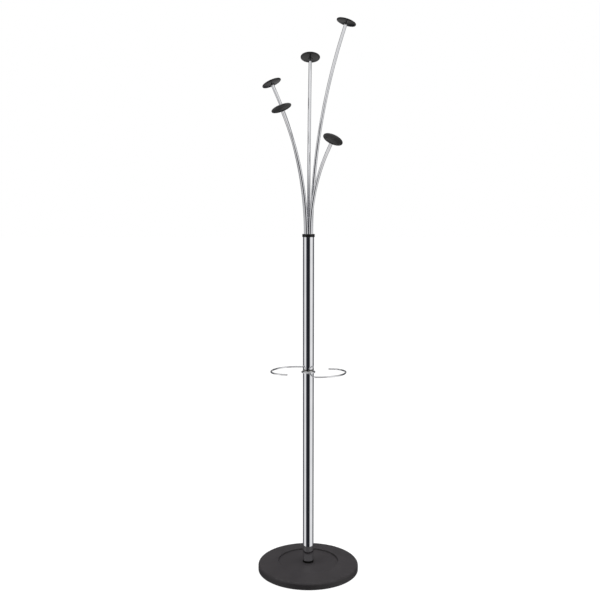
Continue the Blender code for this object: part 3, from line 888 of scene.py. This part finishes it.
@dataclass
class UmbrellaHolder:
    """Wire ring that swivels at the pole's joint, with an open loop welded to each side."""

    reach: float = 0.122
    front_radius: float = 0.092
    back_radius: float = 0.055
    start_angle: float = radians(-98)
    end_angle: float = radians(95)
    root_x: float = 0.003
    corner_radius: float = 0.009
    root_steps: int = 6
    corner_steps: int = 14
    front_steps: int = 60
    back_steps: int = 44
    weld_embed: float = 0.6
    weld_length: float = 0.0045
    weld_swell: float = 0.0011
    # the bead's section: distance out by its swell, distance along by its length, fillet by its swell
    weld_shape: tuple[Triple, ...] = ((-1.0, -0.5, 0.0), (1.0, -0.5, 0.8), (0.8, 0.35, 0.9), (-0.2, 1.0, 0.0),
                                      (-1.0, 1.0, 0.0))
    ring_sides: int = 128
    ring_section_sides: int = 32
    wire_sides: int = 36

    def build(self) -> None:
        """Make the ring, both loops and their welds."""
        low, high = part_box("holder_ring")
        self.wire = (high[2] - low[2]) / 2
        self.level = (high[2] + low[2]) / 2
        self.ring_radius = high[0] - self.wire
        self.build_ring()
        self.build_loop("right", 0.0)
        self.build_loop("left", pi)

    def build_ring(self) -> None:
        """Ring of round wire about the pole."""
        angles = [2 * pi * step / self.ring_section_sides for step in range(self.ring_section_sides)]
        section = [Corner(self.ring_radius + self.wire * cos(angle), self.level + self.wire * sin(angle))
                   for angle in angles]
        ring = Workpiece("holder_ring_wire")
        ring.turn(Outline(section), self.ring_sides)
        ring.enter(CHROME, Body.HOLDER, "holder_ring", crease=60)

    def build_loop(self, side: str, turned: float) -> None:
        """One loop: straight root, tight corner, wide front bend, tighter back bend and a rounded end.

        Args:
            side: the side's name, as in the CAD node.
            turned: how far the loop is turned about the pole, in radians.
        """
        front_center = Vector((self.reach - self.front_radius, 0.0))
        corner = front_center + Vector((cos(self.start_angle), sin(self.start_angle))) * self.front_radius
        embed = self.wire * self.weld_embed
        clear = self.ring_radius + self.wire - embed
        root = Vector((self.root_x, -sqrt(clear ** 2 - self.root_x ** 2)))
        outward = (corner - root).normalized()
        along_front = Vector((-sin(self.start_angle), cos(self.start_angle)))
        bend_angle = outward.angle(along_front)
        setback = self.corner_radius * tan(bend_angle / 2)
        skipped = setback / self.front_radius

        spin = Matrix.Rotation(turned, 3, "Z")
        start = spin @ root.to_3d() + UP * self.level
        heading = spin @ outward.to_3d()
        loop = BentBar(f"umbrella_loop_{side}_wire", self.wire, start, heading, self.wire_sides)
        loop.run((corner - root).length - setback, self.root_steps)
        loop.bend(self.corner_radius, bend_angle, UP.cross(heading), self.corner_steps)
        front_angle = -self.start_angle - skipped
        loop.bend(self.front_radius, front_angle, UP.cross(loop.heading), self.front_steps)
        loop.bend(self.back_radius, self.end_angle, UP.cross(loop.heading), self.back_steps)
        loop.round_end()
        loop.cap_start()
        loop.enter(CHROME, Body.HOLDER, f"umbrella_loop_{side}", crease=60)
        self.build_weld(side, start + heading * embed, heading)

    def build_weld(self, side: str, start: Vector, heading: Vector) -> None:
        """Small plated weld bead where a loop leaves the ring.

        Args:
            side: the side's name.
            start: the point on the ring's surface where the wire leaves it.
            heading: the wire's direction.
        """
        swell = self.weld_swell
        outline = Outline([Corner(self.wire + swell * out, self.weld_length * along, swell * fillet)
                           for out, along, fillet in self.weld_shape])
        weld = Workpiece(f"loop_weld_{side}")
        place = Matrix.Translation(start) @ heading.to_track_quat("Z", "Y").to_matrix().to_4x4()
        weld.turn(outline, self.wire_sides, place)
        weld.enter(CHROME, Body.HOLDER, crease=60)


@dataclass(frozen=True)
class ArmPlace:
    """Where one arm points and ends: azimuth from +Y towards +X, reach and height of its knob."""

    name: str
    azimuth: float
    reach: float
    height: float

    def outward(self) -> Vector:
        """Horizontal unit vector in which the arm leans."""
        return Vector((sin(radians(self.azimuth)), cos(radians(self.azimuth)), 0.0))


@dataclass
class MushroomKnob:
    """Moulded knob: domed top, thin rounded edge, domed underside and a neck round the arm's end."""

    radius: float = 0.0338
    edge: float = 0.0026
    crown: float = 0.0072
    underside: float = 0.0058
    neck_radius: float = 0.0076
    neck_length: float = 0.0015
    neck_fillet: float = 0.0011
    socket_radius: float = 0.0058
    socket_depth: float = 0.0105
    parting_inset: float = 3.0
    parting_width: float = 0.00045
    parting_depth: float = 0.00025
    edge_span: float = radians(78)
    edge_steps: int = 8
    crown_steps: int = 18
    underside_steps: int = 14
    sides: int = 112

    def outline(self) -> Outline:
        """Section of the knob about its own axis.

        Returns:
            The outline, with a fine parting groove under the edge.
        """
        rim = self.radius - self.edge
        crown = dome_corners(rim, self.edge, self.crown - self.edge, 0.0, self.crown_steps)
        arc = arc_points(Vector((rim, 0.0)), self.edge, self.edge_span, -self.edge_span, self.edge_steps)
        edge = [Corner(point.x, point.y) for point in arc]
        drop = self.edge - self.underside
        under = dome_corners(rim, -self.edge, drop, self.neck_radius, self.underside_steps)[::-1]
        groove_at = rim - self.parting_width * self.parting_inset
        below = [corner for corner in under if corner.radius < groove_at - self.parting_width]
        level = -self.edge - self.parting_depth
        groove = [Corner(groove_at + self.parting_width, level),
                  Corner(groove_at, level + self.parting_depth * 2),
                  Corner(groove_at - self.parting_width, level - self.parting_depth / 2)]
        neck_end = -self.underside - self.neck_length
        join = below[-1]
        neck = [Corner(self.neck_radius, join.height, self.neck_fillet),
                Corner(self.neck_radius, neck_end, self.neck_fillet / 2),
                Corner(self.socket_radius, neck_end, self.neck_fillet / 4),
                Corner(self.socket_radius, neck_end + self.socket_depth),
                Corner(0.0, neck_end + self.socket_depth)]
        return Outline(crown + edge + groove + below[:-1] + neck, fillet_steps=5)

    def build(self, arm: ArmPlace, heading: Vector) -> None:
        """Make the knob of one arm.

        Args:
            arm: the arm's place.
            heading: the direction in which the arm ends.
        """
        center = arm.outward() * arm.reach + UP * arm.height
        place = Matrix.Translation(center) @ UP.rotation_difference(heading).to_matrix().to_4x4()
        knob = Workpiece(f"knob_{arm.name}_moulding")
        knob.turn(self.outline(), self.sides, place)
        knob.enter(KNOB_PLASTIC, Body.STAND, f"knob_{arm.name}", crease=32)


def arm_places() -> list[ArmPlace]:
    """Places of the five arms, in a descending spiral.

    Returns:
        The places, from the top arm down.
    """
    top_height = 1.878
    step = 0.098968
    names = ("top", "second", "third", "fourth", "lowest")
    azimuths = (72.0, 3.0, 290.0, 220.5, 144.0)
    reaches = (0.132, 0.131, 0.132, 0.136, 0.131)
    return [ArmPlace(name, azimuth, reach, top_height - rank * step)
            for rank, (name, azimuth, reach) in enumerate(zip(names, azimuths, reaches))]


@dataclass
class ArmCrown:
    """Collar on top of the pole, five bent arms and their knobs."""

    arm_radius: float = 0.0055
    circle_radius: float = 0.0105
    tail: float = 0.043
    hub_floor: float = 0.0063
    plug_radius: float = 0.0172
    collar_fillet: float = 0.0014
    collar_crease: float = 32.0
    seat_fillet: float = 0.0005
    flange_gap: float = 0.0003
    hole_clearance: float = 0.0003
    drill_overrun: float = 1.5
    end_gap_share: float = 0.2
    collar_sides: int = 128
    arm_sides: int = 40
    straight_steps: int = 4
    bend_steps: int = 90
    knob: MushroomKnob = field(default_factory=MushroomKnob)
    arms: list[ArmPlace] = field(default_factory=arm_places)

    def build(self) -> None:
        """Make the collar, the arms and the knobs, and dress the hub."""
        low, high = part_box("top_collar")
        self.collar_top = high[2]
        self.flange_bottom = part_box("upper_tube")[1][2] + self.flange_gap
        self.collar_radius = high[0]
        self.collar_bottom = low[2]
        self.build_collar()
        for arm in self.arms:
            heading = self.build_arm(arm)
            self.knob.build(arm, heading)
        dress_nodes(ZINC, ["arm_hub"])

    def build_collar(self) -> None:
        """Black collar with a round-edged flange, pierced for the arms."""
        outline = Outline([
            Corner(0.0, self.collar_top),
            Corner(self.collar_radius, self.collar_top, self.collar_fillet),
            Corner(self.collar_radius, self.flange_bottom, self.seat_fillet),
            Corner(self.plug_radius, self.flange_bottom, self.seat_fillet / 2),
            Corner(self.plug_radius, self.collar_bottom, self.seat_fillet),
            Corner(0.0, self.collar_bottom),
        ])
        blank = Workpiece("top_collar_moulding")
        blank.turn(outline, self.collar_sides)
        collar = blank.enter(TRIM_PLASTIC, Body.STAND, "top_collar", crease=self.collar_crease)
        self.pierce(collar)

    def pierce(self, collar: bpy.types.Object) -> None:
        """Cut the arms' holes through the collar with a Boolean whose result is kept.

        Args:
            collar: the collar's object.
        """
        radius = self.arm_radius + self.hole_clearance
        depth = (self.collar_top - self.collar_bottom) * self.drill_overrun
        middle = (self.collar_top + self.collar_bottom) / 2
        drill = bmesh.new()
        for arm in self.arms:
            place = Matrix.Translation(arm.outward() * self.circle_radius + UP * middle)
            bmesh.ops.create_cone(drill, cap_ends=True, segments=self.arm_sides, radius1=radius,
                                  radius2=radius, depth=depth, matrix=place)
        cutter = placed("collar_drill", settled("collar_drill", drill))
        cut = collar.modifiers.new("Holes", "BOOLEAN")
        cut.operation = "DIFFERENCE"
        cut.solver = "EXACT"
        cut.object = cutter
        graph = bpy.context.evaluated_depsgraph_get()
        pierced = bpy.data.meshes.new_from_object(collar.evaluated_get(graph))
        collar.modifiers.clear()
        collar.data = pierced
        pierced.set_sharp_from_angle(angle=radians(self.collar_crease))
        bpy.data.objects.remove(cutter)

    def build_arm(self, arm: ArmPlace) -> Vector:
        """Bend one arm: upright in the hub, one long bend outwards and a straight tail into the knob.

        Args:
            arm: the arm's place.

        Returns:
            The direction in which the arm ends.
        """
        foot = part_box("arm_hub")[0][2] + self.hub_floor
        bend_start = (self.flange_bottom + self.collar_top) / 2
        rise = arm.height - bend_start
        lean = 2 * atan((arm.reach - self.circle_radius) / (rise + self.tail))
        bend_radius = (rise - self.tail * cos(lean)) / sin(lean)
        spare = self.knob.socket_depth - self.knob.underside - self.knob.neck_length
        bar = BentBar(f"arm_{arm.name}_plated", self.arm_radius,
                      arm.outward() * self.circle_radius + UP * foot, UP, self.arm_sides)
        bar.run(bend_start - foot, self.straight_steps)
        bar.bend(bend_radius, lean, arm.outward(), self.bend_steps)
        bar.run(self.tail + spare - self.arm_radius * self.end_gap_share, self.straight_steps)
        heading = bar.heading.copy()
        bar.cap(bar.edges)
        bar.cap_start()
        bar.enter(CHROME, Body.STAND, f"arm_{arm.name}", crease=60)
        return heading


def dress_nodes(finish: Finish, nodes: Iterable[str]) -> None:
    """Give carried-over CAD nodes a finish through their own material slots.

    Args:
        finish: the surface finish.
        nodes: the nodes' names.
    """
    material = finish.build()
    for name in nodes:
        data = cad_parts[name].data
        if not data.materials:
            data.materials.append(material)
        for index in range(len(data.materials)):
            data.materials[index] = material


# -------------------- studio
@dataclass
class Panorama:
    """Surroundings that only reflections and soft light see: bright sides, a dark room behind the camera."""

    # degrees round from the camera's side (+ towards +X) and brightness, at about the horizon
    stops: tuple[Band, ...] = (
        (-180, 0.05), (-172, 0.06), (-168, 0.50), (-155, 0.50), (-150, 0.06), (-112, 0.09), (-100, 0.48),
        (-92, 0.80), (-64, 0.95), (-51, 0.86), (-44, 0.08), (-32, 0.030), (12, 0.016), (26, 0.04), (38, 0.90),
        (74, 1.00), (94, 0.76), (103, 0.40), (113, 0.08), (150, 0.06), (155, 0.50), (168, 0.50), (172, 0.06),
        (180, 0.05))
    # the same higher up, where a bright ceiling spans the front
    high_stops: tuple[Band, ...] = (
        (-180, 0.26), (-132, 0.12), (-104, 0.20), (-88, 0.85), (0, 0.92), (92, 0.95), (112, 0.24),
        (140, 0.14), (180, 0.26))
    # the same for soft light, so that upright faces stay darker than the tops
    soft_stops: tuple[Band, ...] = (
        (-180, 0.24), (-132, 0.16), (-88, 0.75), (-40, 0.42), (0, 0.30), (40, 0.45), (92, 0.85), (112, 0.26),
        (180, 0.24))
    full_turn: float = 360.0
    shadow_tint: Triple = (0.90, 0.95, 1.18)
    tint_below: float = 0.10
    high_band: Band = (0.16, 0.34)
    zenith: Triple = (0.80, 0.80, 0.80)
    zenith_band: Band = (0.80, 0.95)
    ground: Triple = (0.84, 0.83, 0.82)
    ground_band: Band = (-0.48, -0.80)
    ground_bounce: Triple = (0.10, 0.10, 0.10)
    backdrop: Triple = (1.0, 1.0, 1.0)

    def build(self) -> None:
        """Make the world."""
        world = bpy.data.worlds.new("studio")
        bpy.context.scene.world = world
        world.use_nodes = True
        world.node_tree.nodes.clear()
        board = NodeBoard(world.node_tree)
        ray = board.add("LightPath", {}).outputs
        way = board.add("SeparateXYZ", {0: board.add("TexCoord", {}).outputs["Generated"]}).outputs
        turn = board.math("ARCTAN2", way["X"], board.math("MULTIPLY", way["Y"], -1.0))
        level, high, soft = (self.around(board, turn, stops)
                             for stops in (self.stops, self.high_stops, self.soft_stops))
        above = board.blend(ray["Is Diffuse Ray"], high, soft)
        sky = board.blend(board.spread(way["Z"], self.high_band), level, above)
        sky = board.blend(board.spread(way["Z"], self.zenith_band), sky, self.zenith)
        ground = board.blend(ray["Is Diffuse Ray"], self.ground, self.ground_bounce)
        sky = board.blend(board.spread(way["Z"], self.ground_band), sky, ground)
        lit = board.add("Background", {"Color": sky}).outputs[0]
        plain = board.add("Background", {"Color": (*self.backdrop, 1.0)}).outputs[0]
        seen = board.add("MixShader", {0: ray["Is Camera Ray"], 1: lit, 2: plain}).outputs[0]
        board.add("OutputWorld", {"Surface": seen})

    def around(self, board: NodeBoard, turn: Socket, stops: Sequence[Band]) -> Socket:
        """Brightness round the circle.

        Args:
            board: the world's board.
            turn: how far round a direction lies, in radians from the camera's side.
            stops: degrees and brightness.

        Returns:
            The colour in that direction.
        """
        ramp = board.add("ValToRGB", {"Fac": board.spread(turn, (-pi, pi))})
        elements = ramp.color_ramp.elements
        for index, (degrees, level) in enumerate(stops):
            position = degrees / self.full_turn + 0.5
            stop = elements[index] if index < len(elements) else elements.new(position)
            stop.position = position
            tint = self.shadow_tint if level < self.tint_below else (1.0, 1.0, 1.0)
            stop.color = (*(level * part for part in tint), 1.0)
        return ramp.outputs["Color"]


@dataclass
class Studio:
    """Pale floor, soft surrounding light and the camera."""

    floor_half: float = 30.0
    floor_glow: float = 0.90
    floor_tone: float = 0.22
    floor_roughness: float = 0.9
    camera_place: Triple = (-0.0287, -2.873, 1.273)
    camera_pitch: float = radians(6.38)
    lens: float = 51.0
    lamp_height: float = 4.6
    lamp_setback: float = 0.5
    lamp_size: float = 4.0
    lamp_power: float = 150.0
    panorama: Panorama = field(default_factory=Panorama)

    def build(self) -> None:
        """Make the floor, the light and the camera."""
        self.build_floor()
        self.panorama.build()
        self.build_lamp()
        self.build_camera()

    def build_floor(self) -> None:
        """Plain pale floor, left out of mirror reflections."""
        sheet = bmesh.new()
        bmesh.ops.create_grid(sheet, x_segments=1, y_segments=1, size=self.floor_half)
        board = ShaderBoard("pale_floor")
        tone = self.floor_tone
        board.dress({"Base Color": (tone, tone, tone, 1.0), "Roughness": self.floor_roughness,
                     "Specular IOR Level": 0.0, "Emission Color": (1.0, 1.0, 1.0, 1.0),
                     "Emission Strength": self.floor_glow})
        data = settled("floor", sheet)
        data.materials.append(board.material)
        floor = placed("floor", data)
        floor.visible_glossy = False
        floor.visible_diffuse = False

    def build_lamp(self) -> None:
        """One broad lamp overhead for the tops."""
        data = bpy.data.lights.new("overhead", "AREA")
        data.shape = "RECTANGLE"
        data.size = data.size_y = self.lamp_size
        data.energy = self.lamp_power
        lamp = placed("overhead", data)
        lamp.location = (0.0, self.lamp_setback, self.lamp_height)
        lamp.visible_glossy = False

    def build_camera(self) -> None:
        """Camera at standing eye level a little below the top, tilted down."""
        data = bpy.data.cameras.new("camera")
        data.lens = self.lens
        data.clip_end = 2 * self.floor_half
        camera = placed("camera", data)
        camera.location = self.camera_place
        camera.rotation_euler = (pi / 2 - self.camera_pitch, 0.0, 0.0)
        bpy.context.scene.camera = camera
        bpy.context.scene.view_settings.view_transform = "Standard"
        bpy.context.scene.view_settings.look = "None"


def main() -> None:
    """Build every sub-assembly and the studio, in order."""
    logging.basicConfig(level=logging.INFO, format="%(name)s: %(message)s")
    Studio().build()
    RoundBase().build()
    Pole().build()
    UmbrellaHolder().build()
    ArmCrown().build()


if __name__ == "__main__":
    main()
